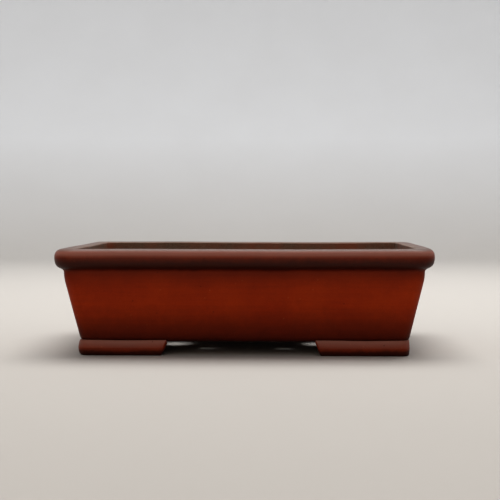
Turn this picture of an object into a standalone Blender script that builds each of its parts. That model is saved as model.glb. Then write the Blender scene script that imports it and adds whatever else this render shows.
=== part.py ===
"""Rectangular unglazed bonsai pot, slab built, with a rounded lip and four corner feet.

Metres, +Z up.  The origin is the centre of the footprint on the ground, +X runs along the
length and the front faces -Y.  Every clay piece is a stack of plan outlines (a loft), because
the walls taper, curve and turn a round corner at once.  Pieces that are luted together keep
the small gap SEAM between their faces.
"""
import math

import bmesh
import bpy

# ---------------------------------------------------------------- driving dimensions
POT_LENGTH = 0.300          # over the lip, along X
POT_DEPTH = 0.225           # over the lip, along Y
POT_HEIGHT = 0.085          # ground to the top of the lip

LIP_OVERHANG = 0.0078       # from the neck out to the lip's fullest point
LIP_HEIGHT = 0.0156         # lip underside to its top
LIP_UPPER_RADIUS = 0.0068   # height of the rounded upper half of the lip's outer face
LIP_SHELF = 0.0022          # flat underside of the lip, from the neck outwards
LIP_INNER_RADIUS = 0.003    # rounding of the lip's inner top edge
LIP_CORNER = 0.018          # plan radius of the lip's corners, at its fullest point

WALL_THICKNESS = 0.007
WALL_SLOPE = math.radians(12.7)     # how far the walls lean out
NECK_HEIGHT = 0.0024        # upright band below the lip
NECK_RADIUS = 0.040         # turn from the upright band into the slope
COVE_RADIUS = 0.0020        # hollow fillet where the neck meets the lip
WALL_CORNER = 0.0085        # plan radius of the outer corners
INNER_CORNER = 0.004        # plan radius of the inner corners
BOTTOM_RADIUS = 0.0054      # rounding of the walls' bottom edge

BASE_HEIGHT = 0.0110        # ground to the underside of the base
BASE_THICKNESS = 0.008
DRAIN_RADIUS = 0.012
DRAIN_SPACING = 0.124       # between the centres of the two drainage holes
TIE_HOLE_RADIUS = 0.00325
TIE_SPACING_X = 0.064       # between the tie-wire holes, along X
TIE_SPACING_Y = 0.076       # and along Y

FOOT_LAP = 0.0011           # how far a foot's upper edge laps up the wall's rounding
FOOT_EDGE = 0.0005          # width of that upper edge
FOOT_WIDTH = 0.016
FOOT_PROUD = 0.0019         # beyond the foot of the wall
FOOT_CORNER = 0.0085        # plan radius of the foot's outer corner, at its fullest point
FOOT_INNER_CORNER = 0.003
FOOT_LONG_LEG = 0.0715      # along the front and back, at the top
FOOT_SHORT_LEG = 0.060      # along the ends, at the top
FOOT_END_SLANT = 0.0045     # how much shorter a leg is at the ground
FOOT_BOTTOM_INSET = 0.0030  # from the foot's fullest point in to its bottom edge
FOOT_FULLEST = 0.0060       # height of the foot's fullest point

SCREEN_LAP = 0.006          # least cover of the screen round the drainage hole
SCREEN_PITCH = 0.0042
SCREEN_STRAND = 0.0012
SCREEN_THICKNESS = 0.0012

WIRE_RADIUS = 0.00075
CLIP_CLEARANCE = 0.002      # least gap between a leg and the side of the drainage hole
CLIP_GRIP = 0.0065          # how far a toe reaches under the base past the hole's edge

SEAM = 0.0003               # gap kept between faces that touch
CORNER_STEPS = 4            # facets in an eighth of a turn

# ---------------------------------------------------------------- derived planes
NECK_X = POT_LENGTH / 2 - LIP_OVERHANG
NECK_Y = POT_DEPTH / 2 - LIP_OVERHANG
LIP_BOTTOM = POT_HEIGHT - LIP_HEIGHT
WALL_TOP = LIP_BOTTOM - SEAM
SLOPE_TOP = WALL_TOP - NECK_HEIGHT
SLOPE_START = SLOPE_TOP - NECK_RADIUS * math.sin(WALL_SLOPE)
BASE_TOP = BASE_HEIGHT + BASE_THICKNESS
# The openings along a screen's side are odd in number, so that a row is centred for the clip.
SCREEN_CELLS = 1 + 2 * math.ceil((DRAIN_RADIUS + SCREEN_LAP) / SCREEN_PITCH - 0.5)
CLIP_LEG_CELLS = math.floor((DRAIN_RADIUS - WIRE_RADIUS - CLIP_CLEARANCE) / SCREEN_PITCH)

CLAY_RED = (0.235, 0.052, 0.018, 1.0)
CLAY_BROWN = (0.168, 0.062, 0.038, 1.0)
MESH_BLACK = (0.012, 0.012, 0.012, 1.0)
WIRE_BROWN = (0.235, 0.130, 0.075, 1.0)


# ---------------------------------------------------------------- profiles
def wall_face(height):
    """Distance of the wall's outer face from the neck plane, before the bottom is rounded."""
    if height >= SLOPE_TOP:
        return 0.0
    drop = SLOPE_TOP - height
    if height >= SLOPE_START:
        return math.sqrt(NECK_RADIUS ** 2 - drop ** 2) - NECK_RADIUS
    turned_in = NECK_RADIUS * (math.cos(WALL_SLOPE) - 1.0)
    return turned_in - (SLOPE_START - height) * math.tan(WALL_SLOPE)


def bottom_rounding(height):
    """How far the rounded bottom edge cuts in from the wall's straight face."""
    tangent = BASE_HEIGHT + BOTTOM_RADIUS * (1.0 - math.sin(WALL_SLOPE))
    if height >= tangent:
        return 0.0
    centre = wall_face(tangent) - BOTTOM_RADIUS * math.cos(WALL_SLOPE)
    drop = BASE_HEIGHT + BOTTOM_RADIUS - height
    rounded = centre + math.sqrt(max(BOTTOM_RADIUS ** 2 - drop ** 2, 0.0))
    return wall_face(height) - rounded


def cove(height):
    """How far the hollow fillet under the lip stands out from the neck."""
    rise = COVE_RADIUS - (WALL_TOP - height)
    if rise <= 0.0:
        return 0.0
    return COVE_RADIUS - math.sqrt(COVE_RADIUS ** 2 - rise ** 2)


def lip_face(height):
    """Distance of the lip's outer face from the neck plane: two quarter ellipses."""
    fullest = POT_HEIGHT - LIP_UPPER_RADIUS
    if height >= fullest:
        reach = LIP_UPPER_RADIUS
        half = LIP_UPPER_RADIUS
    else:
        reach = LIP_OVERHANG - LIP_SHELF
        half = fullest - LIP_BOTTOM
    off = min(abs(height - fullest) / half, 1.0)
    return LIP_OVERHANG - reach * (1.0 - math.sqrt(1.0 - off ** 2))


def lip_inner_rounding(height):
    """How far the lip's inner top edge is rounded back from the wall's inner face."""
    rise = height - (POT_HEIGHT - LIP_INNER_RADIUS)
    if rise <= 0.0:
        return 0.0
    return LIP_INNER_RADIUS - math.sqrt(max(LIP_INNER_RADIUS ** 2 - rise ** 2, 0.0))


def wall_skin(height):
    """Distance of the wall's finished outer face from the neck plane."""
    return wall_face(height) - bottom_rounding(height) + cove(height)


def lap_face(height):
    """Inner face of a foot's lap, from the neck plane: a seam outside and below the wall."""
    return wall_skin(height + SEAM) + SEAM


FOOT_TOP = BASE_HEIGHT + FOOT_LAP                   # ground to the foot's upper edge
FOOT_FACE = wall_face(BASE_HEIGHT) + FOOT_PROUD     # the foot's fullest point, from the neck


def foot_inset(height):
    """How far the foot's outer face falls back from its fullest point: two quarter ellipses."""
    if height >= FOOT_FULLEST:
        inset = FOOT_FACE - (lap_face(FOOT_TOP) + FOOT_EDGE)
        half = FOOT_TOP - FOOT_FULLEST
    else:
        inset = FOOT_BOTTOM_INSET
        half = FOOT_FULLEST
    off = min(abs(height - FOOT_FULLEST) / half, 1.0)
    return inset * (1.0 - math.sqrt(1.0 - off ** 2))


def quarter_levels(start, end, steps):
    """Heights from start to end, closing up towards end as a quarter circle's points do."""
    return [start + (end - start) * math.sin(0.5 * math.pi * i / steps) for i in range(steps + 1)]


# ---------------------------------------------------------------- plan outlines
def arc(centre_x, centre_y, radius, start, end, steps):
    """Points on an arc; the angles are in radians from +X."""
    points = []
    for i in range(steps + 1):
        angle = start + (end - start) * i / steps
        points.append((centre_x + radius * math.cos(angle), centre_y + radius * math.sin(angle)))
    return points


def half_corner(half_length, face, radius):
    """Half of a round corner, from its mitre to the straight: +X end of a side that faces +Y."""
    mitre = math.pi / 4 + math.asin(SEAM / 2 / radius)
    return arc(half_length - radius, face - radius, radius, mitre, math.pi / 2, CORNER_STEPS)


def mitred_side(half_length, face_outer, radius_outer, face_inner, radius_inner):
    """Plan of one side of the pot between its two mitres, facing +Y.

    half_length is the half length of the neck along this side, the faces are distances from
    the neck plane, and Y is measured from that plane.
    """
    outer = half_corner(half_length + face_outer, face_outer, radius_outer)
    inner = half_corner(half_length + face_inner, face_inner, radius_inner)
    outline = outer + [(-x, y) for x, y in reversed(outer)]
    outline += [(-x, y) for x, y in inner]
    outline += list(reversed(inner))
    return outline


def rounded_rectangle(half_x, half_y, radius):
    """Plan of a rectangle with round corners, centred on the origin."""
    outline = []
    for turn, (sign_x, sign_y) in enumerate(((1, 1), (-1, 1), (-1, -1), (1, -1))):
        start = turn * math.pi / 2
        outline += arc(sign_x * (half_x - radius), sign_y * (half_y - radius), radius,
                       start, start + math.pi / 2, 2 * CORNER_STEPS)
    return outline


def foot_outline(face, radius, inner_face, inner_radius, shortening):
    """Plan of an L-shaped foot in the quarter where X and Y point outwards.

    Measured from the neck's corner: face and inner_face are the outer and inner sides of both
    legs, and shortening is how far the legs' ends draw back.
    """
    long_end = FOOT_FACE - FOOT_LONG_LEG + shortening
    short_end = FOOT_FACE - FOOT_SHORT_LEG + shortening
    steps = 2 * CORNER_STEPS
    outline = [(face, short_end)]
    outline += arc(face - radius, face - radius, radius, 0.0, math.pi / 2, steps)
    outline += [(long_end, face), (long_end, inner_face)]
    outline += arc(inner_face - inner_radius, inner_face - inner_radius, inner_radius,
                   math.pi / 2, 0.0, steps)
    outline.append((inner_face, short_end))
    return outline


# ---------------------------------------------------------------- building helpers
def new_collection(name):
    """A collection linked to the scene."""
    collection = bpy.data.collections.new(name)
    bpy.context.scene.collection.children.link(collection)
    return collection


def finish_material(name, colour, roughness, metallic):
    """A Principled material."""
    material = bpy.data.materials.new(name)
    material.use_nodes = True
    shader = material.node_tree.nodes["Principled BSDF"]
    shader.inputs["Base Color"].default_value = colour
    shader.inputs["Roughness"].default_value = roughness
    shader.inputs["Metallic"].default_value = metallic
    material.diffuse_color = colour
    return material


def place(obj, location, material, turn=0.0):
    """Put a finished piece in the pot's collection, at its place, under the pot's empty."""
    PARTS.objects.link(obj)
    obj.location = location
    obj.rotation_euler = (0.0, 0.0, turn)
    obj.parent = POT
    obj.data.materials.append(material)
    obj.data.shade_smooth()
    obj.data.set_sharp_from_angle(angle=math.radians(30))


def loft(name, sections):
    """A closed solid through a stack of plan outlines, each a (height, outline) pair."""
    bm = bmesh.new()
    rings = [[bm.verts.new((x, y, z)) for x, y in outline] for z, outline in sections]
    for lower, upper in zip(rings, rings[1:]):
        for i, vert in enumerate(lower):
            bm.faces.new((lower[i - 1], vert, upper[i], upper[i - 1]))
    bm.faces.new(reversed(rings[0]))
    bm.faces.new(rings[-1])
    bmesh.ops.recalc_face_normals(bm, faces=bm.faces)
    mesh = bpy.data.meshes.new(name)
    bm.to_mesh(mesh)
    bm.free()
    return bpy.data.objects.new(name, mesh)


def mesh_from_curve(name, curve):
    """A closed mesh object from curve data, with its caps welded on."""
    shape = bpy.data.objects.new(name + "_curve", curve)
    bpy.context.scene.collection.objects.link(shape)
    depsgraph = bpy.context.evaluated_depsgraph_get()
    mesh = bpy.data.meshes.new_from_object(shape.evaluated_get(depsgraph))
    bpy.data.objects.remove(shape)
    bm = bmesh.new()
    bm.from_mesh(mesh)
    bmesh.ops.remove_doubles(bm, verts=bm.verts, dist=0.00001)
    bm.to_mesh(mesh)
    bm.free()
    mesh.name = name
    return bpy.data.objects.new(name, mesh)


def drill(target, name, radius, x, y):
    """Cut a round hole down through the target with a cylinder kept among the cutters."""
    bpy.ops.mesh.primitive_cylinder_add(vertices=32, radius=radius, depth=3 * BASE_THICKNESS,
                                        location=(x, y, BASE_HEIGHT + BASE_THICKNESS / 2))
    cutter = bpy.context.object
    cutter.name = name
    for holder in list(cutter.users_collection):
        holder.objects.unlink(cutter)
    CUTTERS.objects.link(cutter)
    cutter.hide_render = True
    cutter.display_type = "WIRE"
    cut = target.modifiers.new(name, "BOOLEAN")
    cut.operation = "DIFFERENCE"
    cut.solver = "EXACT"
    cut.object = cutter


# ---------------------------------------------------------------- clay pieces
def make_base():
    """The floor slab, its edge bevelled to the walls' slope, with drainage and tie-wire holes."""
    sections = []
    for height in (BASE_HEIGHT, BASE_TOP):
        inner = wall_face(height) - WALL_THICKNESS - SEAM
        outline = rounded_rectangle(NECK_X + inner, NECK_Y + inner, INNER_CORNER - SEAM)
        sections.append((height - BASE_HEIGHT, outline))
    slab = loft("base_slab", sections)
    place(slab, (0.0, 0.0, BASE_HEIGHT), CLAY_WALL)
    for side, sign in (("left", -1), ("right", 1)):
        drill(slab, "drain_cutter_" + side, DRAIN_RADIUS, sign * DRAIN_SPACING / 2, 0.0)
        for end, end_sign in (("front", -1), ("back", 1)):
            drill(slab, "tie_cutter_" + end + "_" + side, TIE_HOLE_RADIUS,
                  sign * TIE_SPACING_X / 2, end_sign * TIE_SPACING_Y / 2)


def wall_levels():
    """Heights at which a wall's outline changes."""
    rounded = BASE_HEIGHT + BOTTOM_RADIUS * (1.0 - math.sin(WALL_SLOPE))
    levels = [rounded + BASE_HEIGHT - z for z in quarter_levels(BASE_HEIGHT, rounded, 4)][::-1]
    levels += [SLOPE_START + (SLOPE_TOP - SLOPE_START) * i / 4 for i in range(5)]
    levels += [WALL_TOP - COVE_RADIUS + z for z in quarter_levels(0.0, COVE_RADIUS, 3)]
    return levels


def make_wall(name, half_length, neck, turn):
    """One wall slab, mitred at both ends; neck is the neck plane's distance from the centre."""
    sections = []
    for height in wall_levels():
        outer = wall_skin(height)
        corner = WALL_CORNER + outer - wall_face(height)
        inner = wall_face(height) - WALL_THICKNESS
        outline = mitred_side(half_length, outer, corner, inner, INNER_CORNER)
        sections.append((height - BASE_HEIGHT, outline))
    wall = loft(name, sections)
    place(wall, outward(neck, turn, BASE_HEIGHT), CLAY_WALL, turn)


def make_lip(name, half_length, neck, turn):
    """One strip of the lip, mitred at both ends, capping its wall and standing out beyond it."""
    fullest = POT_HEIGHT - LIP_UPPER_RADIUS
    lower = quarter_levels(fullest, LIP_BOTTOM, 5)[:0:-1]
    sections = []
    for height in lower + quarter_levels(fullest, POT_HEIGHT, 6):
        outer = lip_face(height)
        rounding = lip_inner_rounding(height)
        outline = mitred_side(half_length, outer, LIP_CORNER - (LIP_OVERHANG - outer),
                              rounding - WALL_THICKNESS, INNER_CORNER + rounding)
        sections.append((height - LIP_BOTTOM, outline))
    strip = loft(name, sections)
    place(strip, outward(neck, turn, LIP_BOTTOM), CLAY_TRIM, turn)


def make_foot(name, sign_x, sign_y):
    """An L-shaped corner foot whose upper edge laps the rounded bottom edge of the walls."""
    top = BASE_HEIGHT - SEAM
    inner = FOOT_FACE - FOOT_WIDTH
    levels = quarter_levels(FOOT_FULLEST, 0.0, 4)[:0:-1] + [FOOT_FULLEST, top]
    plain = [(z, inner, FOOT_INNER_CORNER) for z in levels]
    lap = []
    for height in quarter_levels(top, FOOT_TOP, 3):
        face = lap_face(height)
        lap.append((height, face, WALL_CORNER + face - wall_face(height)))
    sections = []
    for height, inner_face, inner_radius in plain + lap:
        inset = foot_inset(height)
        shortening = FOOT_END_SLANT * (1.0 - height / FOOT_TOP)
        outline = foot_outline(FOOT_FACE - inset, FOOT_CORNER - inset,
                               inner_face, inner_radius, shortening)
        sections.append((height, [(sign_x * x, sign_y * y) for x, y in outline]))
    foot = loft(name, sections)
    place(foot, (sign_x * NECK_X, sign_y * NECK_Y, 0.0), CLAY_TRIM)


def outward(distance, turn, height):
    """The place that far out from the centre, on the side that +Y turns to."""
    return (-distance * math.sin(turn), distance * math.cos(turn), height)


# ---------------------------------------------------------------- fitted pieces
def make_screen(name, x):
    """A square of moulded mesh lying over a drainage hole."""
    curve = bpy.data.curves.new(name, "CURVE")
    curve.dimensions = "2D"
    curve.fill_mode = "BOTH"
    curve.extrude = SCREEN_THICKNESS / 2
    half_sheet = SCREEN_CELLS * SCREEN_PITCH / 2 + SCREEN_STRAND / 2
    add_square(curve, 0.0, 0.0, half_sheet)
    half_opening = (SCREEN_PITCH - SCREEN_STRAND) / 2
    middle = (SCREEN_CELLS - 1) / 2
    for row in range(SCREEN_CELLS):
        for column in range(SCREEN_CELLS):
            add_square(curve, (column - middle) * SCREEN_PITCH, (row - middle) * SCREEN_PITCH,
                       half_opening)
    screen = mesh_from_curve(name, curve)
    place(screen, (x, 0.0, BASE_TOP + SEAM + SCREEN_THICKNESS / 2), MESH_PLASTIC)


def add_square(curve, x, y, half):
    """Add a square outline to a flat curve."""
    spline = curve.splines.new("POLY")
    spline.points.add(3)
    corners = ((-half, -half), (half, -half), (half, half), (-half, half))
    for point, (dx, dy) in zip(spline.points, corners):
        point.co = (x + dx, y + dy, 0.0, 1.0)
    spline.use_cyclic_u = True


def make_clip(name, x):
    """A bent wire that bridges the screen, goes down its drainage hole and turns out below."""
    leg = CLIP_LEG_CELLS * SCREEN_PITCH
    bend = 2 * WIRE_RADIUS
    on_screen = BASE_TOP + 2 * SEAM + SCREEN_THICKNESS + WIRE_RADIUS
    under_base = BASE_HEIGHT - SEAM - WIRE_RADIUS
    over = arc(leg - bend, on_screen - bend, bend, math.pi / 2, 0.0, 4)
    below = arc(leg + bend, under_base + bend, bend, math.pi, 1.5 * math.pi, 4)
    half = over + below + [(DRAIN_RADIUS + CLIP_GRIP, under_base)]
    route = [(-px, pz) for px, pz in reversed(half)] + half
    curve = bpy.data.curves.new(name, "CURVE")
    curve.dimensions = "3D"
    curve.bevel_depth = WIRE_RADIUS
    curve.bevel_resolution = 2
    curve.use_fill_caps = True
    spline = curve.splines.new("POLY")
    spline.points.add(len(route) - 1)
    for point, (px, pz) in zip(spline.points, route):
        point.co = (px, 0.0, pz - BASE_HEIGHT, 1.0)
    clip = mesh_from_curve(name, curve)
    place(clip, (x, 0.0, BASE_HEIGHT), CLIP_WIRE)


# ---------------------------------------------------------------- the pot
for old in list(bpy.data.objects):
    bpy.data.objects.remove(old)

PARTS = new_collection("bonsai_pot")
CUTTERS = new_collection("cutters")
POT = bpy.data.objects.new("bonsai_pot_origin", None)
PARTS.objects.link(POT)

CLAY_WALL = finish_material("wall_clay", CLAY_RED, 0.55, 0.0)
CLAY_TRIM = finish_material("trim_clay", CLAY_BROWN, 0.5, 0.0)
MESH_PLASTIC = finish_material("screen_plastic", MESH_BLACK, 0.6, 0.0)
CLIP_WIRE = finish_material("clip_wire", WIRE_BROWN, 0.35, 1.0)

make_base()
SIDES = (("back", NECK_X, NECK_Y, 0.0), ("left", NECK_Y, NECK_X, math.pi / 2),
         ("front", NECK_X, NECK_Y, math.pi), ("right", NECK_Y, NECK_X, -math.pi / 2))
for side_name, side_half, side_neck, side_turn in SIDES:
    make_wall(side_name + "_wall", side_half, side_neck, side_turn)
    make_lip(side_name + "_lip", side_half, side_neck, side_turn)
for side_name, side_sign in (("left", -1), ("right", 1)):
    make_foot("front_" + side_name + "_foot", side_sign, -1)
    make_foot("back_" + side_name + "_foot", side_sign, 1)
    make_screen("drainage_screen_" + side_name, side_sign * DRAIN_SPACING / 2)
    make_clip("screen_clip_" + side_name, side_sign * DRAIN_SPACING / 2)
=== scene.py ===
"""Finished surfaces, materials, studio and camera for a slab-built bonsai pot.

The pot is unglazed stoneware: four mitred walls round a base, a rounded lip, and four
L-shaped corner feet. A plastic mesh lies over each drainage hole, held by a bent wire clip.
Every clay piece is made from the same profiles, so neighbours meet without a gap.
"""

import math
from functools import partial

import bmesh
import bpy
import numpy as np
from bpy.props import FloatProperty, FloatVectorProperty, IntProperty, PointerProperty
from mathutils import Euler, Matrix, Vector


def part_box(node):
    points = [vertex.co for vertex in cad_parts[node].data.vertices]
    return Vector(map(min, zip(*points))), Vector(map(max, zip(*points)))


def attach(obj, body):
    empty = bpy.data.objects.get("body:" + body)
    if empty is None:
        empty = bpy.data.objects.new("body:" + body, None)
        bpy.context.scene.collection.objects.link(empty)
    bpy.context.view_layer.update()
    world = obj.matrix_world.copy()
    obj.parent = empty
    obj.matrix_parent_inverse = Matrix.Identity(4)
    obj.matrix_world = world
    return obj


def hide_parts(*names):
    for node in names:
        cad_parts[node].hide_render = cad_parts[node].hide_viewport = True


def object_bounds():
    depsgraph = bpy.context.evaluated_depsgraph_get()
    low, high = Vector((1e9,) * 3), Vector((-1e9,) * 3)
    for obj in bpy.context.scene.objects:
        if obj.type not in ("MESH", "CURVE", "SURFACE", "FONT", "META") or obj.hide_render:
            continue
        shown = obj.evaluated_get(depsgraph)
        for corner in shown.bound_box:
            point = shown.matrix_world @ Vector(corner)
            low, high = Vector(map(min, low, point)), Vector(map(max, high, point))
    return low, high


bl_info = {
    "name": "Bonsai Pot",
    "version": (1, 0, 0),
    "blender": (4, 5, 0),
    "location": "3D View > Sidebar > Bonsai Pot",
    "description": "Surfaces, materials and studio for a slab-built bonsai pot",
    "category": "Add Mesh",
}

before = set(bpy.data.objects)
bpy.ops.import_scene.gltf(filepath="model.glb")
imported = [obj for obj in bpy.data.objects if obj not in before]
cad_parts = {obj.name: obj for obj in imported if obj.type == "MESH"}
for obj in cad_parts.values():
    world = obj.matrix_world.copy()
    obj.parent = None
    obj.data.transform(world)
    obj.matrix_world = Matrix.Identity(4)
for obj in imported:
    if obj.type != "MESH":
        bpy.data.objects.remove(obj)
CAD_LOW, CAD_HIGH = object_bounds()
SLAB_LOW, SLAB_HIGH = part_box("base_slab")
LIP_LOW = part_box("front_lip")[0]
FOOT_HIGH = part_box("front_right_foot")[1]

SEAM = 0.0003                   # the gap that the frame keeps between touching faces
WELD = 1.0e-6                   # points closer than this are one
CRISP = math.radians(38)        # edges that turn further than this aren't smoothed
SIDES = (("back", 0), ("left", 1), ("front", 2), ("right", 3))     # quarter turns from +Y
# Each foot's place, how much longer its long leg was cut, and how far its end face swells.
CORNERS = (("front_left", -1, -1, 0.0003, 0.0001), ("front_right", 1, -1, 0.0052, -0.0012),
           ("back_left", -1, 1, 0.0008, 0.0002), ("back_right", 1, 1, 0.0012, -0.0003))
ENDS = ("left", "right")


def linear(code):
    """An sRGB hex colour as linear RGBA: a power curve above 0.04045, a straight line below."""
    srgb = np.array([int(code[i:i + 2], 16) for i in (1, 3, 5)]) / 255.0
    rgb = np.where(srgb > 0.04045, ((srgb + 0.055) / 1.055) ** 2.4, srgb / 12.92)
    return (*rgb.tolist(), 1.0)


def length(name, description, millimetres):
    """A length property, given in millimetres and kept in metres."""
    return FloatProperty(name=name, description=description, default=millimetres / 1000.0,
                         min=0.0, unit="LENGTH", precision=4)


def colour(name, description, code):
    """A colour property from an sRGB hex code."""
    return FloatVectorProperty(name=name, description=description, subtype="COLOR", size=4,
                               min=0.0, max=1.0, default=linear(code))


# ---- what a user may change
class BonsaiPotSizes(bpy.types.PropertyGroup):
    """Sizes of the pot's profiles and fittings"""

    lip_overhang: length("Lip Overhang", "Neck out to the lip's fullest line", 7.8)
    lip_fullest: length("Lip Fullest", "Lip's fullest line down from the top", 6.8)
    lip_crown: length("Lip Crown", "Lip's highest line out from the neck plane", 1.0)
    lip_inner_drop: length("Lip Inner Edge", "Height of the lip's eased inner edge", 1.5)
    lip_corner: length("Lip Corner", "Plan radius of the lip's corners", 18.0)
    neck_height: length("Neck Height", "Upright band under the lip", 2.4)
    neck_radius: length("Neck Radius", "Turn from the upright band into the slope", 40.0)
    wall_thickness: length("Wall Thickness", "Thickness of the wall slabs", 7.0)
    wall_slope: FloatProperty(name="Wall Slope", description="How far the walls lean out",
                              default=math.radians(12.7), subtype="ANGLE")
    wall_corner: length("Wall Corner", "Plan radius of the outer corners", 8.5)
    inner_corner: length("Inner Corner", "Plan radius of the hollow's corners, at the floor", 4.0)
    mouth_corner: length("Mouth Corner", "Plan radius of the hollow's corners, at the lip", 13.0)
    bottom_radius: length("Bottom Rounding", "Rounded bottom edge of the walls", 5.4)
    floor_fillet: length("Floor Fillet", "Smoothed clay where walls and base meet", 3.6)
    drain_radius: length("Drainage Hole", "Radius of the two drainage holes", 12.0)
    drain_rim: length("Drainage Rim", "Rounding of the drainage holes' edges", 1.1)
    tie_radius: length("Tie Hole", "Radius of the four tie-wire holes", 3.25)
    tie_rim: length("Tie Hole Rim", "Rounding of the tie holes' edges", 0.7)
    tie_x: length("Tie Hole X", "Tie holes from the middle, along the length", 32.0)
    tie_y: length("Tie Hole Y", "Tie holes from the middle, along the depth", 38.0)
    foot_proud: length("Foot Proud", "Feet out beyond the foot of the wall", 1.9)
    foot_fullest: length("Foot Fullest", "Height of the feet's fullest line", 5.8)
    foot_width: length("Foot Width", "Width of the feet's legs", 16.0)
    foot_long: length("Foot Long Leg", "Leg along the front or back, at its top", 71.5)
    foot_short: length("Foot Short Leg", "Leg along an end, at its top", 60.0)
    foot_slant: length("Foot End Slant", "How much shorter a leg is at the ground", 4.5)
    foot_inset: length("Foot Bottom Inset", "Fullest line in to the bottom edge", 3.0)
    foot_rise: length("Foot Rise", "Feet's laps up beyond the frame's", 0.5)
    foot_end_round: length("Foot End Rounding", "Rounding of the legs' end edges", 1.8)
    mesh_pitch: length("Mesh Pitch", "Spacing of the screen's strands", 4.2)
    mesh_strand: length("Mesh Strand", "Width of a strand", 1.2)
    mesh_cells: IntProperty(name="Mesh Cells", description="Openings along a side", default=9,
                            min=1)
    wire_radius: length("Wire Radius", "Radius of the clips' wire", 0.75)
    clip_leg: length("Clip Leg", "Clip's legs out from its middle", 8.4)
    clip_toe: length("Clip Toe", "Clip's toes out from its middle", 18.5)
    hand_wander: length("Hand Wander", "How far the clay wanders from true", 0.22)


class BonsaiPotFinish(bpy.types.PropertyGroup):
    """Colours of the pot's materials"""

    red_clay: colour("Red Clay", "Burnished wall clay", "#963105")
    red_clay_dark: colour("Red Clay Shade", "Denser patches of the wall clay", "#8b2a04")
    brown_clay: colour("Brown Clay", "Clay of the lip and feet", "#84300f")
    brown_clay_dark: colour("Brown Clay Shade", "Denser patches of the lip and feet", "#72260a")
    # Painted shade under the lip, by the ground and in pinholes; also soil crumbs and damp stains.
    painted_shade_and_stain: colour("Painted Shade and Stain", "Dark tone in the hollows", "#240802")
    # A painted sheen on faces that look up.
    painted_sheen: colour("Painted Sheen", "Pale tone on faces that look up", "#8a5c50")
    # A painted grey reflection on level faces.
    painted_reflection: colour("Painted Reflection", "Grey-brown on level faces", "#454b46")
    soiled: colour("Soil Stain", "Grey-brown left by soil inside", "#75604f")
    mineral: colour("Water Lines", "Pale lines left by hard water inside", "#a8968a")
    grog: colour("Grog", "Pale grit in the clay", "#b0603c")
    plastic: colour("Mesh Plastic", "Moulded mesh", "#17191a")
    plastic_dust: colour("Mesh Dust", "Clay dust on the mesh", "#5c4a40")
    wire: colour("Clip Wire", "Copper-brown anodised wire", "#8b5a3c")
    wire_shade: colour("Clip Wire Shade", "Draw lines along the wire", "#6e4630")
    floor: colour("Studio Floor", "Plain pale sweep, underfoot", "#b4b0ab")
    backdrop: colour("Studio Backdrop", "Plain pale sweep, where it rises", "#d6d6d6")
    fibre: colour("Studio Fibre", "Paper's slightly darker clouds", "#aaa6a2")


# ---- profiles
def bezier(points, t):
    """Cubic Bezier through four (n, z) control points at the parameters t."""
    t = np.asarray(t)[:, None]
    p = np.asarray(points)
    return ((1 - t) ** 3 * p[0] + 3 * (1 - t) ** 2 * t * p[1]
            + 3 * (1 - t) * t ** 2 * p[2] + t ** 3 * p[3])


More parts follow.
